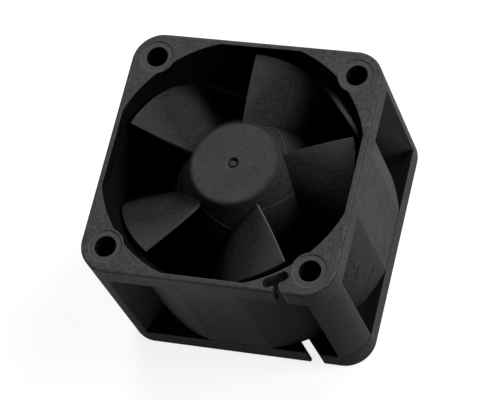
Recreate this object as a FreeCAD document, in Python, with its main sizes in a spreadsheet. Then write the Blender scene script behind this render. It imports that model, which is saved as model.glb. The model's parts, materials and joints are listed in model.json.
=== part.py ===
"""Server fan module: a 40 mm square, 28 mm deep axial fan with a five-blade impeller.

Millimetres. The origin is the centre of the rear face. The rotor turns about Z, and +Z points
out of the air intake. Every driving dimension is a named value in the Sizes sheet.
"""
import FreeCAD
import Part
import math
import os
import re
import Sketcher

SIZES = [
    # Square moulded frame.
    ("frame_width", 40.0),
    ("frame_depth", 28.0),
    ("side_count", 4),
    ("hole_pitch", 32.0),
    ("front_hole_diameter", 3.4),
    ("rear_hole_diameter", 3.0),
    ("corner_radius", 4.6),
    ("edge_rounding", 0.4),
    ("front_flange", 3.8),
    ("rear_flange", 4.0),
    ("front_hole_depth", 7.0),
    ("rear_hole_depth", 3.0),
    ("post_width", 4.2),
    ("post_lean", 26.0),
    ("spot_face_diameter", 5.2),
    ("spot_face_depth", 0.12),
    # How far a cutting form runs past the face that it opens.
    ("overcut", 1.0),
    # Air duct through the frame.
    ("duct_bore", 38.0),
    ("duct_wall", 1.6),
    ("inlet_diameter", 40.4),
    ("inlet_depth", 3.5),
    ("inlet_rim", 0.85),
    ("hole_land", 5.8),
    # Cable notches in the two flanges.
    ("rear_notch_width", 1.2),
    ("rear_notch_offset", 5.0),
    ("rear_notch_angle", -47.0),
    ("rear_mouth_x", 10.4),
    ("rear_mouth_width", 0.8),
    ("rear_mouth_depth", 0.7),
    ("hook_x", 11.2),
    ("hook_inset", 2.0),
    ("hook_length", 4.15),
    ("hook_width", 1.5),
    ("hook_angle", 31.0),
    ("hook_mouth_x", 11.45),
    ("hook_mouth_width", 0.8),
    ("hook_mouth_rounding", 1.4),
    # Motor base and the guide vanes that carry it across the outlet.
    ("base_diameter", 22.4),
    ("base_setback", 0.4),
    ("base_floor", 1.0),
    ("base_rim_height", 1.9),
    ("base_rim_wall", 0.7),
    ("base_rim_setback", 0.1),
    ("boss_lip", 0.1),
    ("boss_wall", 1.0),
    ("boss_height", 6.1),
    ("vane_count", 7),
    ("vane_thickness", 1.1),
    ("vane_bottom", 0.3),
    ("vane_height", 5.7),
    ("vane_twist", -42.0),
    ("vane_start", -80.0),
    ("vane_hub_gap", 0.6),
    # Impeller hub.
    ("hub_diameter", 22.0),
    ("hub_bottom", 3.9),
    ("hub_shoulder", 20.6),
    ("hub_neck", 25.5),
    ("hub_neck_diameter", 14.8),
    ("hub_top", 27.1),
    ("hub_top_diameter", 13.4),
    ("hub_wall", 0.97),
    ("hub_roof", 1.1),
    ("hub_rounding", 0.8),
    ("dimple_diameter", 1.9),
    ("dimple_depth", 0.45),
    ("nub_diameter", 0.8),
    ("nub_setback", 0.15),
    ("hub_ledge", 0.75),
    ("hub_nose_wall", 1.4),
    ("hub_boss_diameter", 4.8),
    ("hub_boss_bottom", 20.7),
    # Five blades.
    ("blade_count", 5),
    ("tip_clearance", 0.5),
    ("blade_root_lead", 23.4),
    ("blade_tip_lead", 20.5),
    ("blade_root_top", 25.5),
    ("blade_tip_top", 26.5),
    ("blade_root_height", 18.0),
    ("blade_tip_height", 18.0),
    ("blade_root_curl", 31.0),
    ("blade_tip_curl", 26.5),
    ("blade_root_bite", 0.5),
    ("blade_tip_bite", 0.88),
    ("blade_root_twist", 2.6),
    ("blade_tip_twist", 2.0),
    ("blade_thickness", 0.8),
    ("blade_root_sink", 1.3),
    ("blade_tip_excess", 0.6),
    # Rotor cup and magnet.
    ("glue_gap", 0.03),
    ("yoke_wall", 0.6),
    ("yoke_bottom", 4.2),
    ("yoke_top", 20.2),
    ("yoke_hole", 6.4),
    ("magnet_wall", 1.2),
    ("magnet_bottom", 5.0),
    ("magnet_top", 18.6),
    ("air_gap", 0.3),
    # Shaft and its two ball bearings.
    ("shaft_diameter", 2.0),
    ("shaft_bottom", 1.1),
    ("shaft_top", 24.6),
    ("shaft_chamfer", 0.15),
    ("sliding_fit", 0.01),
    ("bearing_bore", 2.0),
    ("bearing_outside", 6.0),
    ("bearing_width", 3.0),
    ("race_wall", 0.5),
    ("ball_diameter", 1.1),
    ("ball_count", 6),
    ("ball_clearance", 0.07),
    ("cage_wall", 0.7),
    ("cage_setback", 0.35),
    ("cage_height", 1.4),
    ("shield_thickness", 0.15),
    ("shield_gap", 0.1),
    ("shield_inset", 0.03),
    ("rear_bearing_bottom", 2.0),
    ("front_bearing_bottom", 15.5),
    ("tube_wall", 0.6),
    ("tube_bottom", 0.9),
    ("tube_top", 18.8),
    ("tube_step", 0.4),
    ("spring_wire", 0.3),
    ("spring_turns", 3.0),
    ("spring_diameter", 2.54),
    ("spring_end_gap", 0.05),
    ("washer_diameter", 3.2),
    ("washer_thickness", 0.12),
    ("washer_gap", 0.01),
    ("clip_gap", 0.02),
    ("clip_diameter", 3.8),
    ("clip_thickness", 0.3),
    ("clip_groove", 1.5),
    ("clip_mouth", 1.2),
    # Wound stator.
    ("core_bottom", 7.5),
    ("core_height", 8.5),
    ("core_ring_wall", 0.9),
    ("pole_arm_width", 2.0),
    ("pole_shoe_depth", 0.9),
    ("pole_gap_angle", 14.0),
    ("insulator_thickness", 0.5),
    ("insulator_overhang", 0.15),
    ("shoe_sink", 0.3),
    ("coil_gap", 0.05),
    ("coil_seat", 0.02),
    ("coil_wall", 1.15),
    ("coil_rounding", 0.9),
    ("coil_half_width", 2.5),
    ("coil_inner", 4.75),
    ("coil_length", 1.6),
    ("pin_circle", 11.6),
    ("pin_side", 0.45),
    ("pin_fit", 0.01),
    ("pin_length_below_board", 0.3),
    ("ear_width", 1.5),
    # Circuit board under the stator.
    ("board_bottom", 2.6),
    ("board_thickness", 0.8),
    ("board_clearance", 0.2),
    ("board_boss_gap", 0.1),
    ("part_circle", 14.0),
    ("driver_length", 2.6),
    ("driver_width", 2.6),
    ("driver_height", 0.9),
    ("hall_length", 1.6),
    ("hall_width", 2.2),
    ("hall_height", 0.8),
    ("hall_offset", 0.7),
    ("capacitor_length", 1.3),
    ("capacitor_width", 2.0),
    ("capacitor_height", 1.0),
    ("resistor_length", 0.6),
    ("resistor_width", 1.0),
    ("resistor_height", 0.4),
    ("resistor_offset", 1.0),
    ("seal_thickness", 0.15),
    ("seal_gap", 0.4),
]

doc = FreeCAD.newDocument("server_fan_module")
sheet = doc.addObject("Spreadsheet::Sheet", "Sizes")
for row, (alias, amount) in enumerate(SIZES, start=1):
    sheet.set(f"A{row}", alias)
    sheet.set(f"B{row}", str(amount))
    sheet.setAlias(f"B{row}", alias)
doc.recompute()
ALIASES = {alias for alias, amount in SIZES}

# Radii and heights that several pieces share.
HALF = "(frame_width / 2)"
POCKET_HEIGHT = "(frame_depth - front_flange - rear_flange)"
DUCT_OUTSIDE = "(duct_bore / 2 + duct_wall)"
BASE_TOP = "(base_setback + base_floor)"
TUBE_INSIDE = "(bearing_outside / 2)"
TUBE_OUTSIDE = "(bearing_outside / 2 + tube_wall)"
BOSS_TOP = "(base_setback + boss_height)"
HUB_INSIDE = "(hub_diameter / 2 - hub_wall)"
YOKE_OUTSIDE = "(hub_diameter / 2 - hub_wall - glue_gap)"
YOKE_INSIDE = "(hub_diameter / 2 - hub_wall - glue_gap - yoke_wall)"
MAGNET_OUTSIDE = "(hub_diameter / 2 - hub_wall - 2 * glue_gap - yoke_wall)"
MAGNET_INSIDE = "(hub_diameter / 2 - hub_wall - 2 * glue_gap - yoke_wall - magnet_wall)"
STATOR_OUTSIDE = f"({MAGNET_INSIDE} - air_gap)"
CORE_INSIDE = f"({TUBE_OUTSIDE} + glue_gap)"
CORE_RING = f"({CORE_INSIDE} + core_ring_wall)"
CORE_TOP = "(core_bottom + core_height)"
BOARD_TOP = "(board_bottom + board_thickness)"
BALL_PITCH = "((bearing_bore + bearing_outside) / 4)"
INNER_RACE = "(bearing_bore / 2 + race_wall)"
OUTER_RACE = "(bearing_outside / 2 - race_wall)"
TIP_RADIUS = "(duct_bore / 2 - tip_clearance)"
RIM_INSIDE = "(base_diameter / 2 - base_rim_wall)"
RIM_TOP = f"({BASE_TOP} + base_rim_height)"
BOSS_INSIDE = f"({TUBE_OUTSIDE} + glue_gap)"
BOSS_OUTSIDE = f"({BOSS_INSIDE} + boss_wall)"
WASHER_BOTTOM = "(rear_bearing_bottom - washer_gap - washer_thickness)"
CLIP_TOP = f"({WASHER_BOTTOM} - clip_gap)"
CLIP_BOTTOM = f"({CLIP_TOP} - clip_thickness)"


def value(text):
    """The number that an expression in the sheet's own names comes to."""
    return float(sheet.evalExpression(str(text)))


def formula(text):
    """The same expression, as another object of the document writes it."""
    return re.sub(r"\b[a-z_]+\b", lambda word: f"Sizes.{word[0]}" if word[0] in ALIASES else word[0], str(text))


def bind(item, **sizes):
    """Ties properties to the sheet; z, x, y and turn set the placement."""
    paths = {"x": "Placement.Base.x", "y": "Placement.Base.y", "z": "Placement.Base.z",
             "turn": "Placement.Rotation.Angle"}
    for name, text in sizes.items():
        item.setExpression(paths.get(name, name), formula(text))
    return item


def primitive(kind, name, **sizes):
    return bind(doc.addObject(f"Part::{kind}", name), **sizes)


def cylinder(name, radius, height, z="0", **place):
    return primitive("Cylinder", name, Radius=radius, Height=height, z=z, **place)


def box(name, length, width, height, x, y, z):
    return primitive("Box", name, Length=length, Width=width, Height=height, x=x, y=y, z=z)


def cut(name, base, tool):
    item = doc.addObject("Part::Cut", name)
    item.Base = base
    item.Tool = tool
    return item


def fuse(name, shapes):
    item = doc.addObject("Part::MultiFuse", name)
    item.Shapes = shapes
    return item


def common(name, shapes):
    item = doc.addObject("Part::MultiCommon", name)
    item.Shapes = shapes
    return item


def turned(name, source, angle):
    """A copy of source, turned about the rotor axis."""
    item = doc.addObject("Part::Compound", name)
    item.Links = [source]
    item.Placement.Rotation = FreeCAD.Rotation(FreeCAD.Vector(0, 0, 1), 0)
    bind(item, turn=angle)
    return item


def ring(name, outer, inner, height, z):
    """A plain ring about the rotor axis."""
    body = cylinder(f"{name}_body", outer, height, z)
    bore = cylinder(f"{name}_bore", inner, f"{height} + 2 * overcut", f"{z} - overcut")
    return cut(name, body, bore)


def sketch_on(body, name, role):
    sketch = body.newObject("Sketcher::SketchObject", name)
    plane = [item for item in body.Origin.OriginFeatures if item.Role == role][0]
    sketch.AttachmentSupport = [(plane, "")]
    sketch.MapMode = "FlatFace"
    return sketch


def pin_point(sketch, line, across, up):
    """Holds a line's start at two distances from the sketch's origin."""
    for kind, text, axis in (("DistanceX", across, -2), ("DistanceY", up, -1)):
        amount = value(text)
        if abs(amount) < 1e-9:
            sketch.addConstraint(Sketcher.Constraint("PointOnObject", line, 1, axis))
        elif amount > 0:
            number = sketch.addConstraint(Sketcher.Constraint(kind, -1, 1, line, 1, amount))
            sketch.setExpression(f"Constraints[{number}]", formula(text))
        else:
            number = sketch.addConstraint(Sketcher.Constraint(kind, line, 1, -1, 1, -amount))
            sketch.setExpression(f"Constraints[{number}]", formula(f"-({text})"))


def outline(body, name, role, corners):
    """A closed polygon sketch whose corners are expressions."""
    sketch = sketch_on(body, name, role)
    spots = [FreeCAD.Vector(value(across), value(up), 0) for across, up in corners]
    count = len(spots)
    for number in range(count):
        sketch.addGeometry(Part.LineSegment(spots[number], spots[(number + 1) % count]), False)
    for number in range(count):
        sketch.addConstraint(Sketcher.Constraint("Coincident", number, 2, (number + 1) % count, 1))
    for number, (across, up) in enumerate(corners):
        pin_point(sketch, number, across, up)
    return sketch


def revolved(name, corners):
    """A body turned about the rotor axis from an outline of (radius, height) corners."""
    body = doc.addObject("PartDesign::Body", name)
    sketch = outline(body, f"{name}_outline", "XZ_Plane", corners)
    turn = body.newObject("PartDesign::Revolution", f"{name}_turn")
    turn.Profile = sketch
    turn.ReferenceAxis = (sketch, ["V_Axis"])
    turn.Angle = 360
    sketch.Visibility = False
    return body


def edges_where(shape, test):
    return [f"Edge{number}" for number, edge in enumerate(shape.Edges, start=1) if test(edge)]


def rounded(body, name, feature, radius, test):
    """A PartDesign fillet on the edges of the feature that pass the test."""
    doc.recompute()
    fillet = body.newObject("PartDesign::Fillet", name)
    fillet.Base = (feature, edges_where(feature.Shape, test))
    bind(fillet, Radius=radius)
    return fillet


# ---------------------------------------------------------------- moulded frame

def frame_block():
    """Square block with round corners and softened front and rear edges."""
    body = doc.addObject("PartDesign::Body", "frame_block")
    corners = [(f"-{HALF}", f"-{HALF}"), (HALF, f"-{HALF}"), (HALF, HALF), (f"-{HALF}", HALF)]
    sketch = outline(body, "frame_square", "XY_Plane", corners)
    pad = body.newObject("PartDesign::Pad", "frame_pad")
    pad.Profile = sketch
    bind(pad, Length="frame_depth")
    sketch.Visibility = False

    def stands(edge):
        low, high = edge.Vertexes[0].Point, edge.Vertexes[-1].Point
        return abs(low.z - high.z) > value("frame_depth") / 2

    upright = rounded(body, "corner_fillet", pad, "corner_radius", stands)

    def at_an_end(edge):
        box_of_edge = edge.BoundBox
        return box_of_edge.ZLength < 0.01

    rounded(body, "edge_fillet", upright, "edge_rounding", at_an_end)
    return body


def side_pockets():
    """Space between the flanges on each side, outside the duct and between the slanting faces of two posts."""
    body = doc.addObject("PartDesign::Body", "pocket_forms")
    outer = f"({HALF} + overcut)"
    inner = "(duct_bore / 2 * cos(180 / side_count))"

    def reach(depth):
        return f"({HALF} - post_width + ({depth} - {HALF}) * tan(post_lean))"

    corners = [(inner, f"-{reach(inner)}"), (outer, f"-{reach(outer)}"), (outer, reach(outer)), (inner, reach(inner))]
    sketch = outline(body, "pocket_outline", "XY_Plane", corners)
    sketch.setExpression("AttachmentOffset.Base.z", formula("rear_flange"))
    sketch.Visibility = False
    pad = body.newObject("PartDesign::Pad", "pocket_pad")
    pad.Profile = sketch
    bind(pad, Length=POCKET_HEIGHT)
    doc.recompute()
    pattern = body.newObject("PartDesign::PolarPattern", "pocket_pattern")
    pattern.Originals = [pad]
    pattern.Axis = (sketch, ["N_Axis"])
    pattern.Angle = 360
    bind(pattern, Occurrences="side_count")
    body.Tip = pattern
    return cut("side_pockets", body, cylinder("duct_outside", DUCT_OUTSIDE, POCKET_HEIGHT, "rear_flange"))


def inlet_mouth():
    """Cone at the intake, flattened at the four sides and clear of the screw holes."""
    cone = primitive("Cone", "inlet_cone", Radius1="duct_bore / 2",
                     Radius2="inlet_diameter / 2 + (inlet_diameter - duct_bore) / 2 * overcut / inlet_depth",
                     Height="inlet_depth + overcut", z="frame_depth - inlet_depth")
    side = "(frame_width - 2 * inlet_rim)"
    window = box("inlet_window", side, side, "frame_depth", f"-{side} / 2", f"-{side} / 2", "frame_depth / 2")
    mouth = common("inlet_clipped", [cone, window])
    lands = screw_circle("hole_land", "hole_land / 2", "frame_depth", "frame_depth / 2")
    return cut("inlet_mouth", mouth, fuse("hole_lands", lands))


def screw_circle(name, radius, height, z):
    """Four cylinders on the screw holes' centres."""
    half = "hole_pitch / 2"
    return [
        cylinder(f"{name}_{number}", radius, height, z, x=f"{side_x} * {half}", y=f"{side_y} * {half}")
        for number, (side_x, side_y) in enumerate(((1, 1), (-1, 1), (-1, -1), (1, -1)))
    ]


def screw_holes():
    """Blind holes for self-tapping screws in both flanges, with spot faces at the front."""
    front = screw_circle("front_hole", "front_hole_diameter / 2", "front_hole_depth + overcut",
                         "frame_depth - front_hole_depth")
    rear = screw_circle("rear_hole", "rear_hole_diameter / 2", "rear_hole_depth + overcut", "-overcut")
    faces = screw_circle("spot_face", "spot_face_diameter / 2", "spot_face_depth + overcut",
                         "frame_depth - spot_face_depth")
    return fuse("screw_holes", front + rear + faces)


def hook_mouth():
    """Way in to the hook from the side: a narrow gap that widens round the end of the tongue."""
    low = "frame_depth - front_flange - overcut / 2"
    tall = "front_flange + overcut"
    left = "hook_mouth_x - hook_mouth_width / 2"
    right = "hook_mouth_x + hook_mouth_width / 2"
    gap = box("hook_gap", "hook_mouth_width", "hook_inset + overcut", tall, left, f"-{HALF} - overcut", low)
    corner = box("hook_corner", "hook_mouth_rounding", "hook_mouth_rounding + overcut", tall, right,
                 f"-{HALF} - overcut", low)
    tongue = cylinder("hook_tongue", "hook_mouth_rounding", tall, low, x=f"{right} + hook_mouth_rounding",
                      y=f"-{HALF} + hook_mouth_rounding")
    return [gap, cut("hook_lead_in", corner, tongue)]


def hook_slot():
    """Round-ended slot beside the intake, where the wires lie."""
    low = "frame_depth - front_flange - overcut / 2"
    tall = "front_flange + overcut"
    straight = "(hook_length - hook_width)"
    middle = box("hook_middle", straight, "hook_width", tall, f"-{straight} / 2", "-hook_width / 2", "0")
    ends = [
        cylinder(f"hook_end_{number}", "hook_width / 2", tall, "0", x=f"{side} * {straight} / 2")
        for number, side in enumerate((-1, 1))
    ]
    placed = turned("hook_placed", fuse("hook_upright", [middle] + ends), "hook_angle")
    return bind(placed, x="hook_x", y=f"-{HALF} + hook_inset", z=low)


def cable_notches():
    """Slanted notch through the rear flange, and the hook through the front flange."""
    notch = box("rear_notch_form", "frame_width", "rear_notch_width", "rear_flange + overcut",
                "duct_bore / 2 - overcut", "-rear_notch_offset - rear_notch_width / 2", "-overcut")
    mouth = box("rear_mouth", "rear_mouth_width", "rear_mouth_depth + overcut", "rear_flange + overcut",
                "rear_mouth_x", f"-{HALF} - overcut", "-overcut")
    rear = [turned("rear_notch", notch, "rear_notch_angle"), mouth]
    return fuse("cable_notches", rear + [hook_slot()] + hook_mouth())


def motor_base():
    """Shallow dish that carries the circuit board, with the boss round the bearing tube."""
    lip = f"({TUBE_INSIDE} + boss_lip)"
    return revolved("motor_base", [
        (lip, "base_setback"),
        (RIM_INSIDE, "base_setback"),
        (RIM_INSIDE, "base_rim_setback"),
        ("base_diameter / 2", "base_rim_setback"),
        ("base_diameter / 2", RIM_TOP),
        (RIM_INSIDE, RIM_TOP),
        (RIM_INSIDE, BASE_TOP),
        (BOSS_OUTSIDE, BASE_TOP),
        (BOSS_OUTSIDE, BOSS_TOP),
        (BOSS_INSIDE, BOSS_TOP),
        (BOSS_INSIDE, "tube_bottom"),
        (lip, "tube_bottom"),
    ])


def vane_section(body, name, height, angle):
    """Radial slice of one guide vane, at a height and turned by an angle."""
    inner = f"({RIM_INSIDE} / cos(vane_twist / 4) + base_rim_wall / 4)"
    outer = "(duct_bore / 2 + duct_wall / 2)"
    half = "vane_thickness / 2"
    corners = [(inner, f"-{half}"), (outer, f"-{half}"), (outer, half), (inner, half)]
    sketch = outline(body, name, "XY_Plane", corners)
    sketch.setExpression("AttachmentOffset.Base.z", formula(height))
    sketch.AttachmentOffset.Rotation = FreeCAD.Rotation(FreeCAD.Vector(0, 0, 1), 0)
    sketch.setExpression("AttachmentOffset.Rotation.Angle", formula(angle))
    sketch.Visibility = False
    return sketch


def guide_vanes():
    """Leaning vanes across the outlet, which carry the motor base and turn the air straight."""
    body = doc.addObject("PartDesign::Body", "guide_vanes")
    low = vane_section(body, "vane_low", "vane_bottom", "vane_start")
    middle = vane_section(body, "vane_middle", "vane_bottom + vane_height / 2", "vane_start + vane_twist / 2")
    high = vane_section(body, "vane_high", "vane_bottom + vane_height", "vane_start + vane_twist")
    loft = body.newObject("PartDesign::AdditiveLoft", "vane_loft")
    loft.Profile = low
    loft.Sections = [middle, high]
    doc.recompute()
    pattern = body.newObject("PartDesign::PolarPattern", "vane_pattern")
    pattern.Originals = [loft]
    pattern.Axis = (low, ["N_Axis"])
    pattern.Angle = 360
    bind(pattern, Occurrences="vane_count")
    body.Tip = pattern
    space = cylinder("vane_hub_space", "hub_diameter / 2 + vane_hub_gap", "frame_depth", RIM_TOP)
    return cut("vane_ring", body, space)


def make_frame():
    bore = cylinder("duct_cut", "duct_bore / 2", "frame_depth + 2 * overcut", "-overcut")
    shell = cut("frame_shell", frame_block(), fuse("frame_cuts", [side_pockets(), bore, inlet_mouth()]))
    carried = fuse("frame_with_base", [shell, motor_base(), guide_vanes()])
    return cut("frame", carried, fuse("frame_holes", [screw_holes(), cable_notches()]))


# ---------------------------------------------------------------- impeller

def hub_form():
    """Outside of the hub: a skirt, a cone up to the neck and a round nose."""
    body = revolved("hub_form", [
        ("0", "hub_bottom"),
        ("hub_diameter / 2", "hub_bottom"),
        ("hub_diameter / 2", "hub_shoulder"),
        ("hub_neck_diameter / 2", "hub_neck"),
        ("hub_top_diameter / 2", "hub_top"),
        ("dimple_diameter / 2", "hub_top"),
        ("dimple_diameter / 2", "hub_top - dimple_depth"),
        ("nub_diameter / 2", "hub_top - dimple_depth"),
        ("nub_diameter / 2", "hub_top - nub_setback"),
        ("0", "hub_top - nub_setback"),
    ])

    def nose_edge(edge):
        ends = edge.BoundBox
        wide = ends.XLength > value("hub_neck_diameter / 2")
        return ends.ZLength < 0.01 and abs(ends.ZMax - value("hub_top")) < 0.01 and wide

    rounded(body, "nose_fillet", body.Tip, "hub_rounding", nose_edge)
    return body


def hub_cavity():
    """Hollow of the hub, round the boss that grips the shaft."""
    boss = "(hub_boss_diameter / 2)"
    nose = "(hub_neck_diameter / 2 - hub_nose_wall)"
    return revolved("hub_cavity", [
        ("0", "hub_bottom - overcut"),
        (HUB_INSIDE, "hub_bottom - overcut"),
        (HUB_INSIDE, "yoke_top"),
        (f"{HUB_INSIDE} - hub_ledge", "yoke_top"),
        (nose, "hub_neck"),
        (nose, "hub_top - hub_roof"),
        (boss, "hub_top - hub_roof"),
        (boss, "hub_boss_bottom"),
        ("shaft_diameter / 2", "hub_boss_bottom"),
        ("shaft_diameter / 2", "shaft_top"),
        ("0", "shaft_top"),
    ])


def blade_point(radius, depth):
    """A point on the blade's middle surface, a given depth below its leading edge."""
    root = value("hub_neck_diameter / 2")
    tip = value(TIP_RADIUS)
    share = (radius - root) / (tip - root)

    def between(name):
        low = value(f"blade_root_{name}")
        return low + (value(f"blade_tip_{name}") - low) * share

    lag = between("curl") * (1 - math.exp(-between("bite") * depth)) + between("twist") * depth
    angle = math.radians(between("lead") - lag)
    return FreeCAD.Vector(radius * math.cos(angle), radius * math.sin(angle), between("top") - depth)


def blade_height(radius):
    root = value("hub_neck_diameter / 2")
    share = (radius - root) / (value(TIP_RADIUS) - root)
    low = value("blade_root_height")
    return low + (value("blade_tip_height") - low) * share


def blade_skin(side):
    """Front (+1) or rear (-1) surface of one blade, through a grid of points.

    Rows run outward and points run down the blade, closer together near the curved leading edge.
    The skin lies half a thickness off the middle surface, and thins toward both edges.
    """
    row_count = 5
    point_count = 11
    crowding = 1.7
    small = 0.02
    edge_share = 0.45
    lead_share = 0.12
    plumpness = 0.7
    inner = value("hub_neck_diameter / 2 - blade_root_sink")
    outer = value(f"{TIP_RADIUS} + blade_tip_excess")
    rows = []
    for number in range(row_count):
        radius = inner + (outer - inner) * number / (row_count - 1)
        row = []
        for step in range(point_count):
            share = step / (point_count - 1)
            depth = blade_height(radius) * share ** crowding
            here = blade_point(radius, depth)
            along = blade_point(radius, depth + small) - here
            outward = blade_point(radius + small, depth) - here
            normal = outward.cross(along).normalize()
            if normal.z < 0:
                normal = -normal
            fullness = math.sin(math.pi * min(1, share + lead_share)) ** plumpness
            half = value("blade_thickness / 2") * (edge_share + (1 - edge_share) * fullness)
            row.append(here + normal * (half * side))
        rows.append(row)
    surface = Part.BSplineSurface()
    surface.interpolate(rows)
    return surface


def blade_solid():
    """One blade: two skins joined round their four edges, then trimmed at the tip."""
    front = blade_skin(1)
    rear = blade_skin(-1)
    faces = [front.toShape(), rear.toShape()]
    for place in (0, 1):
        faces.append(Part.makeRuledSurface(front.uIso(place).toShape(), rear.uIso(place).toShape()))
        faces.append(Part.makeRuledSurface(front.vIso(place).toShape(), rear.vIso(place).toShape()))
    shell = Part.makeShell(faces)
    shell.sewShape()
    solid = Part.Solid(Part.Shell(shell.Faces))
    if solid.Volume < 0:
        solid.reverse()
    sleeve = Part.makeCylinder(value(TIP_RADIUS), value("frame_depth"))
    trimmed = solid.common(sleeve)
    return trimmed.Solids[0]


def make_impeller():
    """Moulded hub and blades in one piece."""
    pieces = [hub_form()]
    blade = blade_solid()
    count = int(value("blade_count"))
    for number in range(count):
        item = doc.addObject("Part::Feature", f"blade_{number}")
        item.Shape = blade
        item.Placement = FreeCAD.Placement(FreeCAD.Vector(), FreeCAD.Rotation(
            FreeCAD.Vector(0, 0, 1), 360 * number / count))
        pieces.append(item)
    return cut("impeller", fuse("impeller_form", pieces), hub_cavity())


# ---------------------------------------------------------------- rotor parts

def make_rotor_yoke():
    return revolved("rotor_yoke", [
        (YOKE_INSIDE, "yoke_bottom"),
        (YOKE_OUTSIDE, "yoke_bottom"),
        (YOKE_OUTSIDE, "yoke_top"),
        ("yoke_hole / 2", "yoke_top"),
        ("yoke_hole / 2", "yoke_top - yoke_wall"),
        (YOKE_INSIDE, "yoke_top - yoke_wall"),
    ])


def make_rotor_magnet():
    return ring("rotor_magnet", MAGNET_OUTSIDE, MAGNET_INSIDE, "(magnet_top - magnet_bottom)", "magnet_bottom")


def make_shaft():
    """Ground shaft with the clip's groove near its rear end."""
    return revolved("shaft", [
        ("0", "shaft_bottom"),
        ("shaft_diameter / 2 - shaft_chamfer", "shaft_bottom"),
        ("shaft_diameter / 2", "shaft_bottom + shaft_chamfer"),
        ("shaft_diameter / 2", CLIP_BOTTOM),
        ("clip_groove / 2", CLIP_BOTTOM),
        ("clip_groove / 2", CLIP_TOP),
        ("shaft_diameter / 2", CLIP_TOP),
        ("shaft_diameter / 2", "shaft_top"),
        ("0", "shaft_top"),
    ])


def make_retaining_clip():
    """Open ring snapped into the groove of the shaft."""
    whole = ring("clip_ring", "clip_diameter / 2", "clip_groove / 2 + sliding_fit", "clip_thickness",
                 CLIP_BOTTOM)
    mouth = box("clip_opening", "clip_diameter", "clip_mouth", "clip_thickness + 2 * overcut", "0",
                "-clip_mouth / 2", f"{CLIP_BOTTOM} - overcut")
    return cut("retaining_clip", whole, mouth)


def make_thrust_washer():
    return ring("thrust_washer", "washer_diameter / 2", "shaft_diameter / 2 + sliding_fit",
                "washer_thickness", WASHER_BOTTOM)


def make_preload_spring():
    """Coil spring of square wire between the front bearing's inner ring and the boss of the hub."""
    bottom = value("front_bearing_bottom + bearing_width + spring_wire / 2 + spring_end_gap")
    top = value("hub_boss_bottom - spring_wire / 2 - spring_end_gap")
    radius = value("spring_diameter / 2")
    wire_half = value("spring_wire / 2")
    pitch = (top - bottom) / value("spring_turns")
    path = Part.makeHelix(pitch, top - bottom, radius)
    section = Part.makePolygon([
        FreeCAD.Vector(radius + across * wire_half, 0, up * wire_half)
        for across, up in ((-1, -1), (1, -1), (1, 1), (-1, 1), (-1, -1))
    ])
    coil = Part.Wire(path).makePipeShell([section], True, True)
    item = doc.addObject("Part::Feature", "preload_spring")
    item.Shape = coil
    item.Placement.Base.z = bottom
    return item


# ---------------------------------------------------------------- ball bearings

def make_bearing(end, bottom):
    """Shielded deep-groove bearing: two rings, balls in a cage, and two shields."""
    middle = f"({bottom} + bearing_width / 2)"
    top = f"({bottom} + bearing_width)"
    groove = "(ball_diameter / 2 + ball_clearance)"

    def race(name, outer, inner):
        plain = ring(f"{name}_plain", outer, inner, "bearing_width", bottom)
        track = primitive("Torus", f"{name}_track", Radius1=BALL_PITCH, Radius2=groove, z=middle)
        return cut(name, plain, track)

    pieces = [
        race(f"{end}_bearing_inner_ring", INNER_RACE, "bearing_bore / 2 + sliding_fit"),
        race(f"{end}_bearing_outer_ring", "bearing_outside / 2", OUTER_RACE),
    ]
    count = int(value("ball_count"))
    balls = []
    seats = []
    for number in range(count):
        angle = 2 * math.pi * number / count
        spot = {"x": f"{BALL_PITCH} * {math.cos(angle):.9f}", "y": f"{BALL_PITCH} * {math.sin(angle):.9f}",
                "z": middle}
        balls.append(primitive("Sphere", f"{end}_ball_{number}", Radius="ball_diameter / 2", **spot))
        spot["z"] = f"{middle} - {groove}"
        seats.append(primitive("Cylinder", f"{end}_seat_{number}", Radius=groove, Height="bearing_width", **spot))
    group = doc.addObject("Part::Compound", f"{end}_bearing_balls")
    group.Links = balls
    crown = ring(f"{end}_crown", f"{BALL_PITCH} + cage_wall / 2", f"{BALL_PITCH} - cage_wall / 2",
                 "cage_height", f"{bottom} + cage_setback")
    cage = cut(f"{end}_bearing_cage", crown, fuse(f"{end}_seats", seats))
    shields = doc.addObject("Part::Compound", f"{end}_bearing_shields")
    shields.Links = [
        ring(f"{end}_shield_{number}", OUTER_RACE, f"{INNER_RACE} + shield_gap", "shield_thickness", z)
        for number, z in enumerate((f"({bottom} + shield_inset)", f"({top} - shield_inset - shield_thickness)"))
    ]
    return pieces + [group, cage, shields]


def make_bearing_tube():
    """Brass tube in the boss, stepped inside to space the two bearings."""
    step = f"({TUBE_INSIDE} - tube_step)"
    rear_end = "(rear_bearing_bottom + bearing_width)"
    return revolved("bearing_tube", [
        (TUBE_INSIDE, "tube_bottom"),
        (TUBE_OUTSIDE, "tube_bottom"),
        (TUBE_OUTSIDE, "tube_top"),
        (TUBE_INSIDE, "tube_top"),
        (TUBE_INSIDE, "front_bearing_bottom"),
        (step, "front_bearing_bottom"),
        (step, rear_end),
        (TUBE_INSIDE, rear_end),
    ])


# ---------------------------------------------------------------- stator

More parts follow.
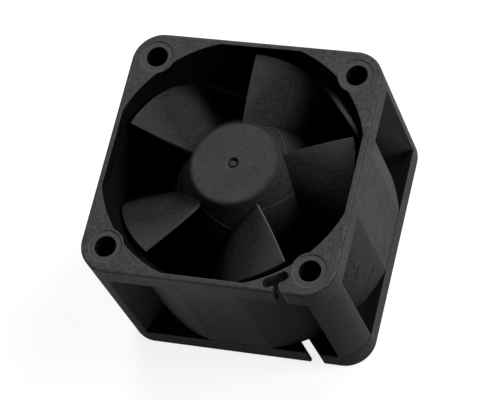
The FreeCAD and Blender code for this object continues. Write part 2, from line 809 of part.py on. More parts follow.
def pole_star(name, spread, bottom, height, shoe_depth):
    """Ring with four arms and curved pole shoes, used by the core and its insulators."""
    hub = cylinder(f"{name}_hub", CORE_RING, height, bottom)
    arm_half = f"(pole_arm_width / 2 + {spread})"
    arm_reach = f"({STATOR_OUTSIDE} - shoe_sink)"
    arms = [
        box(f"{name}_arm_x", f"2 * {arm_reach}", f"2 * {arm_half}", height, f"-{arm_reach}",
            f"-{arm_half}", bottom),
        box(f"{name}_arm_y", f"2 * {arm_half}", f"2 * {arm_reach}", height, f"-{arm_half}",
            f"-{arm_reach}", bottom),
    ]
    shoes = ring(f"{name}_shoes", STATOR_OUTSIDE, f"({STATOR_OUTSIDE} - {shoe_depth})", height, bottom)
    gaps = []
    for number, angle in enumerate((45, 135)):
        gap_width = f"(2 * {STATOR_OUTSIDE} * sin(pole_gap_angle / 2))"
        bar = box(f"{name}_gap_{number}", f"4 * {STATOR_OUTSIDE}", gap_width, f"{height} + 2 * overcut",
                  f"-2 * {STATOR_OUTSIDE}", f"-{gap_width} / 2", f"{bottom} - overcut")
        gaps.append(turned(f"{name}_gap_turned_{number}", bar, angle))
    split = cut(f"{name}_shoes_split", shoes, fuse(f"{name}_gaps", gaps))
    bore = cylinder(f"{name}_bore", CORE_INSIDE, f"{height} + 2 * overcut", f"{bottom} - overcut")
    return cut(name, fuse(f"{name}_star", [hub, split] + arms), bore)


def make_stator_core():
    return pole_star("stator_core", "0", "core_bottom", "core_height", "pole_shoe_depth")


def make_insulators():
    """End caps on the core; the lower one rests on the boss and has ears for the pins."""
    thick = "insulator_thickness"
    shoe = "(pole_shoe_depth - insulator_overhang)"
    upper = pole_star("upper_insulator", "insulator_overhang", CORE_TOP, thick, shoe)
    bottom = f"(core_bottom - {thick})"
    star = pole_star("lower_insulator_star", "insulator_overhang", bottom, thick, shoe)
    reach = "(pin_circle / 2 + pin_side)"
    ears = []
    for number, angle in enumerate((45, 135)):
        ear = box(f"ear_{number}", f"2 * {reach}", "ear_width", thick, f"-{reach}", "-ear_width / 2", bottom)
        ears.append(turned(f"ear_turned_{number}", ear, angle))
    collar = cylinder("insulator_collar", CORE_RING, f"core_bottom - {BOSS_TOP}", BOSS_TOP)
    whole = fuse("lower_insulator_whole", [star, collar] + ears)
    bore = cylinder("lower_insulator_bore", CORE_INSIDE, "core_bottom", f"{BOSS_TOP} - overcut")
    sockets = pin_set("socket", "(pin_side + 2 * pin_fit)", f"{thick} + 2 * overcut", f"{bottom} - overcut")
    lower = cut("lower_insulator", whole, fuse("lower_insulator_cuts", [bore] + sockets))
    return [upper, lower]


def pin_set(name, side, height, z):
    """Four square pins, turned to face the rotor axis."""
    pins = []
    for number in range(4):
        pin = box(f"{name}_{number}", side, side, height, f"pin_circle / 2 - {side} / 2", f"-{side} / 2", z)
        pins.append(turned(f"{name}_turned_{number}", pin, 45 + 90 * number))
    return pins


def make_winding_pins():
    """Pins that carry the coil ends down through the board."""
    below = "(board_bottom - pin_length_below_board)"
    pins = doc.addObject("Part::Compound", "winding_pins")
    pins.Links = pin_set("winding_pin", "pin_side", f"core_bottom - {below}", below)
    return pins


def make_stator_coils():
    """Four coils, one round each arm and the insulator on it."""
    inside = "(pole_arm_width / 2 + insulator_overhang + coil_gap)"
    low = "(core_bottom - insulator_thickness - coil_seat)"
    high = f"({CORE_TOP} + insulator_thickness + coil_seat)"
    outer = box("coil_outer", "coil_length", "2 * coil_half_width", f"{high} - {low} + 2 * coil_wall",
                "coil_inner", "-coil_half_width", f"{low} - coil_wall")
    soft = doc.addObject("Part::Fillet", "coil_soft")
    soft.Base = outer
    doc.recompute()
    soft.Edges = [
        (number, value("coil_rounding"), value("coil_rounding"))
        for number, edge in enumerate(outer.Shape.Edges, start=1)
        if edge.BoundBox.XLength > value("coil_length / 2")
    ]
    window = box("coil_window", "coil_length + 2 * overcut", f"2 * {inside}", f"{high} - {low}",
                 "coil_inner - overcut", f"-{inside}", low)
    coil = cut("coil_form", soft, window)
    coils = doc.addObject("Part::Compound", "stator_coils")
    coils.Links = [turned(f"coil_{number}", coil, 90 * number) for number in range(4)]
    return coils


# ---------------------------------------------------------------- circuit board

def make_circuit_board():
    """Round board in the dish of the motor base, with holes for the boss and the pins."""
    disc = ring("board_disc", f"{RIM_INSIDE} - board_clearance", f"({BOSS_OUTSIDE} + board_boss_gap)",
                "board_thickness", "board_bottom")
    holes = pin_set("board_hole", "(pin_side + 2 * pin_fit)", "board_thickness + 2 * overcut",
                    "board_bottom - overcut")
    return cut("circuit_board", disc, fuse("board_holes", holes))


def board_part(name, kind, offset, angle):
    """A small box soldered on the board, on the parts' circle or farther out by an offset."""
    radius = f"(part_circle / 2 + {offset})"
    form = box(f"{name}_form", f"{kind}_length", f"{kind}_width", f"{kind}_height",
               f"{radius} - {kind}_length / 2", f"-{kind}_width / 2", BOARD_TOP)
    return turned(name, form, angle)


def make_board_parts():
    capacitors = doc.addObject("Part::Compound", "chip_capacitors")
    capacitors.Links = [
        board_part(f"capacitor_{number}", "capacitor", "0", angle) for number, angle in enumerate((90, 270))
    ]
    resistors = doc.addObject("Part::Compound", "chip_resistors")
    resistors.Links = [
        board_part(f"resistor_{number}", "resistor", "resistor_offset", angle)
        for number, angle in enumerate((65, 115, 150, 210, 245, 295))
    ]
    hall = board_part("hall_sensor", "hall", "hall_offset", 0)
    return [hall, board_part("motor_driver_chip", "driver", "0", 180), capacitors, resistors]


def make_rear_seal():
    """Bare disc stuck over the rear bearing's opening."""
    return cylinder("rear_seal_disc", f"{RIM_INSIDE} - seal_gap", "seal_thickness",
                    "base_setback - seal_thickness")


parts = [make_frame(), make_impeller(), make_rotor_yoke(), make_rotor_magnet(), make_shaft()]
parts += [make_retaining_clip(), make_thrust_washer(), make_preload_spring(), make_bearing_tube()]
parts += make_bearing("front", "front_bearing_bottom")
parts += make_bearing("rear", "rear_bearing_bottom")
parts += [make_stator_core()] + make_insulators() + [make_winding_pins(), make_stator_coils()]
parts += [make_circuit_board()] + make_board_parts() + [make_rear_seal()]
doc.recompute()

for item in doc.Objects:
    if "Invalid" in item.State or "Error" in item.State:
        raise RuntimeError(f"{item.Name} failed: {item.State}")
for item in parts:
    if item.Shape.isNull() or not item.Shape.isValid() or not item.Shape.Solids:
        raise RuntimeError(f"{item.Name} has no sound shape")

os.makedirs("parts", exist_ok=True)
for item in parts:
    item.Label = item.Name
    item.Shape.exportStep(f"parts/{item.Label}.step")
    box_now = item.Shape.BoundBox
    print(f"{item.Label}: {len(item.Shape.Solids)} solids, {item.Shape.Volume:.1f} mm3, "
          f"z {box_now.ZMin:.2f} to {box_now.ZMax:.2f}")
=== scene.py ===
# %% [markdown]
# # A 40 mm server fan
# The fan is a square frame of black glass-filled plastic with a five-blade impeller in it. Its sizes,
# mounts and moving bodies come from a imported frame, and this script gives every surface its finish.
# Lengths are in metres, the rear face lies on the floor at Z = 0, and the air intake faces up.

# %% Load the fixed frame
import bpy
import json
from math import cos, pi, radians, sin
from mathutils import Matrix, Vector


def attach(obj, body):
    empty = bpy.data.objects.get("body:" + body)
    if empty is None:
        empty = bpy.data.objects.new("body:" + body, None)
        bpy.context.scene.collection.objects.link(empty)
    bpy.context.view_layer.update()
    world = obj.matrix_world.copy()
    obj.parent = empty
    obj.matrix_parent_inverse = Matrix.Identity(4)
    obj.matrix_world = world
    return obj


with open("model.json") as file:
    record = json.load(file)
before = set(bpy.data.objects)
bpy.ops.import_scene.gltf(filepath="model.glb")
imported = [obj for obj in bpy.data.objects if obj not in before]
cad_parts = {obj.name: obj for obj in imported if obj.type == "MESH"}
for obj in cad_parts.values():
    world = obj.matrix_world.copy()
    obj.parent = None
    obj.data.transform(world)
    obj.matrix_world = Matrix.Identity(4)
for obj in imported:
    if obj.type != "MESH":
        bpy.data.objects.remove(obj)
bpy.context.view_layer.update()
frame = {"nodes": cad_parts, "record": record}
nodes = frame["nodes"]
MM = 0.001

# %% [markdown]
# ## Camera
# A long lens from the right and above keeps the sides of the fan nearly parallel. The camera could be
# aimed with a constraint, but a place and three angles are plain numbers and keep its slight roll, which
# tips the fan to the left.

# %% Place the camera
view = bpy.data.cameras.new("fan_camera")
view.sensor_width = 36.0
view.lens = 180.4
view.clip_start = 10 * MM
view.clip_end = 10.0
camera = bpy.data.objects.new("fan_camera", view)
bpy.context.scene.collection.objects.link(camera)
camera.location = (123.15 * MM, -142.6 * MM, 349.58 * MM)
camera.rotation_euler = (radians(25.81), radians(14.52), radians(13.59))
bpy.context.scene.camera = camera
bpy.context.scene.view_settings.view_transform = "Standard"
print("lens", view.lens, "mm, distance", round(camera.location.length, 4), "m")

# %% [markdown]
# ## Helpers for finishes
# Colours are given as sRGB hex codes, but shaders work in linear light, so one function turns them. The
# second helper adds a shader node with its settings and links in one call, which keeps each finish short.
# Two more start a material and link its results to the shader.

# %% Turn a hex colour to linear light
def linear(code):
    """An sRGB colour such as "#303032" as linear red, green, blue and alpha."""
    values = [int(code[i:i + 2], 16) / 255 for i in (1, 3, 5)]
    return tuple(v / 12.92 if v <= 0.04045 else ((v + 0.055) / 1.055) ** 2.4 for v in values) + (1.0,)


print("mid grey:", [round(v, 3) for v in linear("#808080")])

# %% Add one shader node
def add(tree, kind, sockets=None, out=None, **options):
    """Adds a node, sets its options, gives each socket a value or a link, and returns one output."""
    made = tree.nodes.new("ShaderNode" + kind)
    for option, value in options.items():
        setattr(made, option, value)
    for name, value in (sockets or {}).items():
        if isinstance(name, int):
            socket = made.inputs[name]
        else:
            socket = next(s for s in made.inputs if s.name == name and s.enabled)
        if isinstance(value, bpy.types.NodeSocket):
            tree.links.new(value, socket)
        else:
            socket.default_value = value
    return made.outputs[out] if out else next(s for s in made.outputs if s.enabled)


def new_finish(name, **shader):
    """A material with one Principled shader, and its tree, shader and object coordinates."""
    material = bpy.data.materials.new(name)
    material.use_nodes = True
    tree = material.node_tree
    surface = tree.nodes["Principled BSDF"]
    for socket, value in shader.items():
        surface.inputs[socket.replace("_", " ")].default_value = value
    place = add(tree, "TexCoord", out="Object")
    return material, tree, surface, place


def plug(tree, surface, **sockets):
    """Links results to the shader's sockets."""
    for name, value in sockets.items():
        tree.links.new(value, surface.inputs[name.replace("_", " ")])


PER_MM = 1 / MM
print("a grain of 0.4 mm has a noise scale of", round(PER_MM / 0.4))

# %% [markdown]
# ## Measures on the frame
# The moulding tool is not finished alike all over. Its outer faces are spark-eroded, which leaves a dull
# sandy surface, while the duct's core pin and the screw holes' pins are polished, so those walls come out
# smoother. They are also given a near-black colour, which is painted shade. A finish can tell them apart
# by where a point lies and which way it faces, so a few measures are made from the object coordinates, in
# metres: the radius from the rotor axis, the distance from the nearest screw hole's axis, the reach
# towards the nearest side, and how much the surface faces away from the rotor axis, ahead in the way that
# the blades turn, and up.

# %% Measure from the axes
def measures(tree, place, pitch):
    """Outputs for each measure of the point being shaded: lengths in metres, and directions from -1 to 1."""
    x, y, z = add(tree, "SeparateXYZ", {"Vector": place}).node.outputs
    flat = add(tree, "CombineXYZ", {"X": x, "Y": y})
    outward = add(tree, "VectorMath", {0: flat}, operation="NORMALIZE")
    round_axis = add(tree, "VectorMath", {0: (0, 0, 1), 1: outward}, operation="CROSS_PRODUCT")
    true = add(tree, "NewGeometry", out="Normal")
    sideways = [add(tree, "Math", {0: value}, operation="ABSOLUTE") for value in (x, y)]
    off_hole = [add(tree, "Math", {0: value, 1: pitch / 2}, operation="SUBTRACT") for value in sideways]
    hole = add(tree, "CombineXYZ", {"X": off_hole[0], "Y": off_hole[1]})
    return {
        "x": x, "y": y, "z": z,
        "radius": add(tree, "VectorMath", {0: flat}, operation="LENGTH", out="Value"),
        "hole": add(tree, "VectorMath", {0: hole}, operation="LENGTH", out="Value"),
        "ahead": add(tree, "VectorMath", {0: round_axis, 1: true}, operation="DOT_PRODUCT", out="Value"),
        "up": add(tree, "SeparateXYZ", {"Vector": true}, out="Z"),
        "reach": add(tree, "Math", {0: sideways[0], 1: sideways[1]}, operation="MAXIMUM"),
        "outward": add(tree, "VectorMath", {0: outward, 1: true}, operation="DOT_PRODUCT", out="Value"),
    }


hole_pitch = frame["record"]["mounts"][0]["dims"]["spacing_x_mm"] * MM
print("hole pitch:", hole_pitch)

# %% [markdown]
# ## Zones
# A finish changes from zone to zone: a smoother duct with painted shade, a pale spot face, a nook with
# painted shade. Each zone could be a material of its own, but a moulding has no seams there, so soft masks
# mix the colours inside one material. A fade is a mask that grows along one measure, and a zone is the
# product of its fades, with a colour and a smoothness. Two tables keep the numbers together, and one
# function turns them into nodes. A Map Range node's sockets 0 to 4 are its value, the two ends it comes
# from and the two ends it goes to.

# %% Turn two tables into zones
LENGTHS = ("x", "y", "z", "radius", "hole", "reach", "off_seam", "off_crease")


def make_zones(tree, at, fades, zones):
    """Gives (share, colour, smoothness) for each zone.

    A fade is (measure, where it starts, where it is full, its most), with lengths in mm.
    A zone is (names, colour, smoothness), and its share is the product of the fades or measures it names.
    """
    masks = dict(at)
    for name, (measure, start, full, most) in fades.items():
        unit = MM if measure in LENGTHS else 1
        masks[name] = add(tree, "MapRange", {0: at[measure], 1: start * unit, 2: full * unit, 4: most})
    made = []
    for names, colour, smoothness in zones:
        share = masks[names[0]]
        for name in names[1:]:
            share = add(tree, "Math", {0: share, 1: masks[name]}, operation="MULTIPLY")
        made.append((share, colour, smoothness))
    return made


print("measures that the tables give in mm:", LENGTHS)

# %% [markdown]
# ## Black moulded plastic
# The frame and the impeller are black PBT with glass fibre. The spark-eroded texture is a fine sandy
# bump, and the fibre shows as faint pale flecks. A Bevel node rounds the normals near the edges, and its
# difference from the true normal gives a mask for a paler line along every edge. This line is a painted
# highlight for the thin line of light that the edges catch, and it lets the mesh stay as it is. The sand
# is about 0.1 mm on the real fan, and it is drawn at 0.42 mm so that it shows.

# %% Make the black plastic
sand_size, cloud_size, fibre_size = 0.42, 3.5, 0.16
relief_height = 0.05


def moulded_black(name, deep, pale, fleck_and_highlight, grit, edge_width, edge_highlight_share, zones=None):
    """Spark-eroded black plastic. zones(tree, place) gives each zone's share, colour and smoothness."""
    material, tree, surface, place = new_finish(name, Specular_IOR_Level=0.03)
    fine = {"Vector": place, "Scale": PER_MM / sand_size, "Detail": 2.0, "Roughness": 0.5}
    broad = {"Vector": place, "Scale": PER_MM / cloud_size, "Detail": 3.0, "Roughness": 0.6}
    sand = add(tree, "TexNoise", fine)
    cloudy = add(tree, "TexNoise", broad)
    fibre = add(tree, "TexNoise", {"Vector": place, "Scale": PER_MM / fibre_size, "Detail": 2.0})
    patches = add(tree, "MapRange", {0: cloudy, 1: 0.35, 2: 0.65})
    pits = add(tree, "MapRange", {0: sand, 1: 0.60, 2: 0.35, 4: 0.50 * grit})
    strands = add(tree, "MapRange", {0: fibre, 1: 0.60, 2: 0.76, 4: 0.22 * grit})
    body = add(tree, "Mix", {"Factor": patches, "A": linear(deep), "B": linear(pale)}, data_type="RGBA")
    body = add(tree, "Mix", {"Factor": pits, "A": body, "B": linear("#202021")}, data_type="RGBA")
    body = add(tree, "Mix", {"Factor": strands, "A": body, "B": linear(fleck_and_highlight)}, data_type="RGBA")
    rounded = add(tree, "Bevel", {"Radius": edge_width * MM}, samples=6)
    true = add(tree, "NewGeometry", out="Normal")
    same = add(tree, "VectorMath", {0: rounded, 1: true}, operation="DOT_PRODUCT", out="Value")
    # Painted highlight: the edge mask mixes the pale fleck colour in along each edge.
    edge = add(tree, "MapRange", {0: same, 1: 0.985, 2: 0.80, 4: edge_highlight_share})
    body = add(tree, "Mix", {"Factor": edge, "A": body, "B": linear(fleck_and_highlight)}, data_type="RGBA")
    rough = add(tree, "MapRange", {0: sand, 1: 0.3, 2: 0.7, 3: 0.66, 4: 0.80})
    relief = 0.4 * grit
    for share, colour, smoothness in (zones(tree, place) if zones else []):
        body = add(tree, "Mix", {"Factor": share, "A": body, "B": linear(colour)}, data_type="RGBA")
        less = add(tree, "Math", {0: share, 1: smoothness}, operation="MULTIPLY")
        rough = add(tree, "Math", {0: rough, 1: less}, operation="SUBTRACT")
        relief = add(tree, "Math", {0: relief, 1: less}, operation="SUBTRACT")
    distance = relief_height * MM
    bump = add(tree, "Bump", {"Height": sand, "Strength": relief, "Distance": distance, "Normal": rounded})
    plug(tree, surface, Base_Color=body, Roughness=rough, Normal=bump)
    return material


print("sand, cloud and fibre in mm:", sand_size, cloud_size, fibre_size)

# %% [markdown]
# ## Zones of the frame
# The duct's wall and the screw holes' walls are polished, so they come out smoother, and they are given a
# near-black colour, which is painted shade. A spot face round each hole is rubbed paler. The step wall at
# its rim is given a pale colour, a painted highlight over its shade. A seam of the tool runs just below
# the front face. A dark line of painted shade lies in the crease at the rear flange. The near part of the
# duct's right side, which carries the arrows, is smoother and is given a darker colour, which is painted
# shade. An Ambient Occlusion node finds the nooks that little light reaches. These and the shelf of the
# rear flange are given a darker colour, painted shade which stays dark under a brighter lamp too.

# %% Mark the frame's zones
seam_height, crease_height = 27.72, 4.0
duct_rim, flange_rim = (20.5, 20.2), (24.0, 24.3)
nook_reach = 9
frame_fades = {
    "facing_axis": ("outward", -0.15, -0.40, 1.0),
    "hole_wall": ("hole", 1.74, 1.69, 1.0),
    "under_spot_face": ("z", 27.87, 27.80, 1.0),
    "on_spot_face": ("hole", 2.62, 2.58, 0.6),
    "over_spot_face": ("z", 27.80, 27.84, 1.0),
    "on_seam": ("off_seam", 0.13, 0.07, 0.6),
    "outside": ("reach", 18.5, 19.0, 1.0),
    "right_side": ("x", 15.0, 15.1, 0.55),
    "near_part": ("y", -5.10, -5.20, 1.0),
    "under_flange": ("z", 24.25, 24.15, 1.0),
    "facing_out": ("outward", 0.80, 0.90, 1.0),
    "past_spot_face": ("hole", 2.50, 2.58, 1.0),
    "within_step": ("hole", 2.75, 2.68, 1.0),
    "under_front_face": ("z", 27.99, 27.96, 0.9),
    "on_crease": ("off_crease", 0.30, 0.16, 0.80),
    "at_rim": ("reach", 18.0, 18.3, 1.0),
    "shut_in": ("sky", 0.60, 0.25, 0.75),
    "facing_up": ("up", 0.60, 0.80, 0.88),
    "low": ("z", 5.0, 4.6, 1.0),
    "off_duct": ("radius", 19.4, 19.6, 1.0),
}
frame_marks = [
    # Painted shade: the duct's inner wall, up through the front flange, is near-black.
    (("bore", "facing_axis"), "#0a0a0b", 0.30),
    # Painted shade: the screw holes' walls below the spot faces are near-black.
    (("hole_wall", "under_spot_face"), "#0c0c0d", 0.30),
    (("on_spot_face", "over_spot_face"), "#464647", 0.10),
    (("on_seam", "outside"), "#18181a", 0.0),
    # Painted shade: the near part of the duct's right side, round the arrows, is darker and a little smoother.
    (("right_side", "near_part", "under_flange", "facing_out"), "#2a2a2b", 0.20),
    # Painted highlight: the step wall at the rim of each spot face is paler, over its shade.
    (("past_spot_face", "within_step", "under_front_face", "over_spot_face"), "#58585a", 0.10),
    # Painted shade: a dark line in the crease 4 mm up, round the outside of the frame.
    (("on_crease", "at_rim"), "#0e0e0f", 0.0),
    # Painted shade: nooks that the Ambient Occlusion node finds shut in are darker.
    (("shut_in",), "#0c0c0d", 0.0),
    # Painted shade: the upward shelf of the rear flange outside the duct is near-black.
    (("facing_up", "low", "off_duct"), "#0a0a0b", 0.0),
]


def frame_zones(tree, place):
    """Zones of the frame. The bore, a measure from 0 to 1, is the duct's inside and all of the front flange."""
    at = measures(tree, place, hole_pitch)
    in_duct = add(tree, "MapRange", {0: at["radius"], 1: duct_rim[0] * MM, 2: duct_rim[1] * MM})
    in_flange = add(tree, "MapRange", {0: at["z"], 1: flange_rim[0] * MM, 2: flange_rim[1] * MM})
    at["bore"] = add(tree, "Math", {0: in_duct, 1: in_flange}, operation="MAXIMUM")
    for name, height in (("off_seam", seam_height), ("off_crease", crease_height)):
        off = add(tree, "Math", {0: at["z"], 1: height * MM}, operation="SUBTRACT")
        at[name] = add(tree, "Math", {0: off}, operation="ABSOLUTE")
    at["sky"] = add(tree, "AmbientOcclusion", {"Distance": nook_reach * MM}, out="AO", samples=8)
    return make_zones(tree, at, frame_fades, frame_marks)


print("zones of the frame:", len(frame_marks))

# %% [markdown]
# ## Zones of the impeller
# The hub's end and the tips near the mouth are a dull grey-black. Below the mouth the colour darkens
# with depth, and further in the plastic is given a deep black: painted shade, since little light reaches
# it. The rim of the hub's end is darkened as well, by colour alone, so the end looks a little smaller
# than its shape. This darker rim is painted shade on the rounded shoulder. Near the mouth, the faces that
# face ahead, the leading edges among them, are given a paler colour, a painted highlight. Between mouth
# and depth the surface is faintly speckled. The specks stand for ends of glass fibre and are drawn at
# 0.36 mm, coarser than the real ones, so that they show.

# %% Mark the impeller's zones
speck_size = 0.36
impeller_fades = {
    "below_mouth": ("z", 27.05, 25.60, 0.88),
    "deep": ("z", 25.00, 21.50, 0.70),
    "past_disc": ("radius", 6.10, 7.00, 0.65),
    "before_cone": ("radius", 9.00, 7.80, 1.0),
    "on_nose": ("z", 26.00, 26.40, 1.0),
    "facing_ahead": ("ahead", 0.30, 0.60, 0.90),
    "near_mouth": ("z", 24.80, 25.60, 1.0),
    "speckled": ("specks", 0.40, 0.68, 0.20),
    "not_deep": ("z", 21.00, 24.50, 1.0),
    "below_disc": ("z", 26.90, 26.60, 1.0),
}
impeller_marks = [
    # Painted shade: the impeller darkens from the mouth downwards.
    (("below_mouth",), "#161617", 0.10),
    # Painted shade: deeper in, the impeller is near-black.
    (("deep",), "#040404", 0.10),
    # Painted shade: the rounded shoulder at the rim of the hub's end is darker, so the end looks smaller.
    (("past_disc", "before_cone", "on_nose"), "#161617", 0.0),
    # Painted highlight: faces that face ahead near the mouth, the leading edges among them, are paler.
    (("facing_ahead", "near_mouth"), "#4c4c4e", 0.10),
    (("speckled", "not_deep", "below_disc"), "#464648", 0.0),
]


def impeller_zones(tree, place):
    """Zones of the impeller. The specks are a measure too, which runs from 0 to 1."""
    at = measures(tree, place, hole_pitch)
    at["specks"] = add(tree, "TexNoise", {"Vector": place, "Scale": PER_MM / speck_size, "Detail": 2.0})
    return make_zones(tree, at, impeller_fades, impeller_marks)


print("zones of the impeller:", len(impeller_marks))

# %% [markdown]
# ## The three black plastics
# The frame, the impeller and the hub's flash are the same plastic out of different tools, so one function
# makes all three. The frame's tool has the coarsest texture, and thin flash has hardly any.

# %% Give each moulding its own texture
finishes = {
    "frame_plastic": moulded_black(
        "black_glass_filled_pbt", deep="#404041", pale="#474748", fleck_and_highlight="#727274",
        grit=1.0, edge_width=0.14, edge_highlight_share=0.50, zones=frame_zones),
    "impeller_plastic": moulded_black(
        "black_impeller_pbt", deep="#3a3a3b", pale="#3f3f41", fleck_and_highlight="#747476",
        grit=0.6, edge_width=0.20, edge_highlight_share=0.45, zones=impeller_zones),
    "flash_plastic": moulded_black(
        "thin_flash_pbt", deep="#3c3c3e", pale="#444446", fleck_and_highlight="#525254",
        grit=0.5, edge_width=0.05, edge_highlight_share=0.3),
}
print("black plastics:", [m.name for m in finishes.values()])

# %% [markdown]
# ## Metals of the motor
# The steel and brass parts inside are drawn, turned, ground or stacked, and each way of making leaves its
# own marks. One function gives a metal with long scratches: noise drawn out along the way the tool went.

# %% Make the metals
def worked_metal(name, colour, dull, rough, mark, stretch, depth):
    """Metal with marks of a size in mm, drawn out by stretch along X, Y and Z and cut to a depth in mm."""
    material, tree, surface, place = new_finish(name, Metallic=1.0)
    drawn = add(tree, "Mapping", {"Vector": place, "Scale": tuple(1 / times for times in stretch)})
    marks = add(tree, "TexNoise", {"Vector": drawn, "Scale": PER_MM / mark, "Detail": 3.0, "Roughness": 0.6})
    spots = add(tree, "TexNoise", {"Vector": place, "Scale": PER_MM / 1.2, "Detail": 2.0})
    stain = add(tree, "MapRange", {0: spots, 1: 0.4, 2: 0.75})
    body = add(tree, "Mix", {"Factor": stain, "A": linear(colour), "B": linear(dull)}, data_type="RGBA")
    shine = add(tree, "MapRange", {0: marks, 1: 0.3, 2: 0.7, 3: rough - 0.08, 4: rough + 0.10})
    bump = add(tree, "Bump", {"Height": marks, "Strength": 0.4, "Distance": depth * MM})
    plug(tree, surface, Base_Color=body, Roughness=shine, Normal=bump)
    return material


finishes.update({
    "yoke_steel": worked_metal("drawn_zinc_plated_steel", "#b9bcc0", "#9fa3a8", 0.34, 0.12, (1, 1, 14), 0.01),
    "shaft_steel": worked_metal("ground_steel", "#c9cbcd", "#b4b7ba", 0.20, 0.05, (12, 12, 1), 0.004),
    "spring_steel": worked_metal("bright_spring_wire", "#b0b2b5", "#94979b", 0.28, 0.06, (4, 4, 1), 0.004),
    "tube_brass": worked_metal("turned_brass", "#d2ae62", "#b98f48", 0.30, 0.06, (14, 14, 1), 0.006),
    "pin_brass": worked_metal("tinned_brass", "#cfcdc4", "#b9b4a2", 0.32, 0.08, (1, 1, 5), 0.004),
    "bearing_steel": worked_metal(
        "polished_bearing_steel", "#cfd1d4", "#bcbfc3", 0.13, 0.05, (10, 10, 1), 0.002),
    "shield_steel": worked_metal("pressed_shield_steel", "#bfc1c4", "#a5a8ac", 0.30, 0.10, (3, 3, 1), 0.006),
})
print("metals so far:", sum("steel" in n or "brass" in n for n in finishes))

# %% [markdown]
# ## Stator, coils and board
# The core is a stack of thin steel sheets, so its sides show fine layers. The coils are enamelled copper
# wire laid side by side, and the turns lie square to each pole, so the larger of X and Y counts them.
# Sine waves of the real sheet and wire thickness draw both. The board has green solder mask over copper
# tracks.

# %% Make the layered core and the wound coils
def banded(name, counted, period, colour, gap_colour, metal, rough, height):
    """Bands of one period in mm. counted names the measure that they follow: "z" or "reach"."""
    material, tree, surface, place = new_finish(name, Metallic=metal)
    count = measures(tree, place, hole_pitch)[counted]
    turns = add(tree, "Math", {0: count, 1: 2 * pi / (period * MM)}, operation="MULTIPLY")
    wave = add(tree, "Math", {0: turns}, operation="SINE")
    wander = add(tree, "TexNoise", {"Vector": place, "Scale": PER_MM / 0.8, "Detail": 2.0})
    crest = add(tree, "MapRange", {0: wave, 1: -1.0, 2: 0.2})
    tarnish = add(tree, "MapRange", {0: wander, 1: 0.4, 2: 0.8, 4: 0.3})
    body = add(tree, "Mix", {"Factor": crest, "A": linear(gap_colour), "B": linear(colour)}, data_type="RGBA")
    body = add(tree, "Mix", {"Factor": tarnish, "A": body, "B": linear(gap_colour)}, data_type="RGBA")
    bump = add(tree, "Bump", {"Height": wave, "Strength": 0.7, "Distance": height * MM})
    shine = add(tree, "MapRange", {0: wander, 1: 0.3, 2: 0.7, 3: rough - 0.05, 4: rough + 0.1})
    plug(tree, surface, Base_Color=body, Roughness=shine, Normal=bump)
    return material


sheet_thickness, wire_thickness = 0.35, 0.18
finishes["core_steel"] = banded(
    "laminated_core_steel", "z", sheet_thickness, "#8f9094", "#3c3c40", 1.0, 0.42, 0.02)
finishes["coil_copper"] = banded(
    "enamelled_copper_wire", "reach", wire_thickness, "#c0622c", "#5a2410", 0.85, 0.28, 0.04)
print("sheets of", sheet_thickness, "mm and wire of", wire_thickness, "mm")

# %% Make the board's solder mask over tracks
def solder_mask():
    """Green solder mask over copper tracks, with the board's weave showing through."""
    material, tree, surface, place = new_finish("green_solder_mask", Roughness=0.32, Coat_Weight=0.3)
    cells = {"Vector": place, "Scale": PER_MM / 1.1, "Randomness": 0.85}
    second = add(tree, "TexVoronoi", cells, distance="MANHATTAN", feature="F2")
    nearest = add(tree, "TexVoronoi", cells, distance="MANHATTAN", feature="F1")
    gap = add(tree, "Math", {0: second, 1: nearest}, operation="SUBTRACT")
    copper = add(tree, "MapRange", {0: gap, 1: 0.16, 2: 0.10})
    weave = add(tree, "TexNoise", {"Vector": place, "Scale": PER_MM / 0.25, "Detail": 2.0})
    shade = add(tree, "MapRange", {0: weave, 1: 0.4, 2: 0.8, 4: 0.25})
    bare, tracked = linear("#0c4a2c"), linear("#1f7a44")
    body = add(tree, "Mix", {"Factor": copper, "A": bare, "B": tracked}, data_type="RGBA")
    body = add(tree, "Mix", {"Factor": shade, "A": body, "B": linear("#083420")}, data_type="RGBA")
    bump = add(tree, "Bump", {"Height": copper, "Strength": 0.6, "Distance": 0.03 * MM})
    plug(tree, surface, Base_Color=body, Normal=bump)
    return material


finishes["board_laminate"] = solder_mask()
print("board finish:", finishes["board_laminate"].name)

# %% [markdown]
# ## Other plastics, ferrite and ceramic
# What is left is dull and grainy. A speckled finish with its own grain size and gloss suits each: bonded
# ferrite is coarse, a chip's epoxy is fine, and the seal over the rear bearing is a satin film.

# %% Make the grainy finishes
def grainy(name, colour, speck, grain, rough, height):
    """A dull surface with specks of a grain in mm, raised by a height in mm."""
    material, tree, surface, place = new_finish(name)
    fine = {"Vector": place, "Scale": PER_MM / grain, "Detail": 3.0, "Roughness": 0.65}
    grains = add(tree, "TexNoise", fine)
    cloud = add(tree, "TexNoise", {"Vector": place, "Scale": PER_MM / (8 * grain), "Detail": 2.0})
    specks = add(tree, "MapRange", {0: grains, 1: 0.45, 2: 0.75})
    drift = add(tree, "MapRange", {0: cloud, 1: 0.4, 2: 0.8, 4: 0.3})
    body = add(tree, "Mix", {"Factor": specks, "A": linear(colour), "B": linear(speck)}, data_type="RGBA")
    body = add(tree, "Mix", {"Factor": drift, "A": body, "B": linear(speck)}, data_type="RGBA")
    bump = add(tree, "Bump", {"Height": grains, "Strength": 0.5, "Distance": height * MM})
    shine = add(tree, "MapRange", {0: grains, 1: 0.3, 2: 0.7, 3: rough - 0.06, 4: rough + 0.08})
    plug(tree, surface, Base_Color=body, Roughness=shine, Normal=bump)
    return material


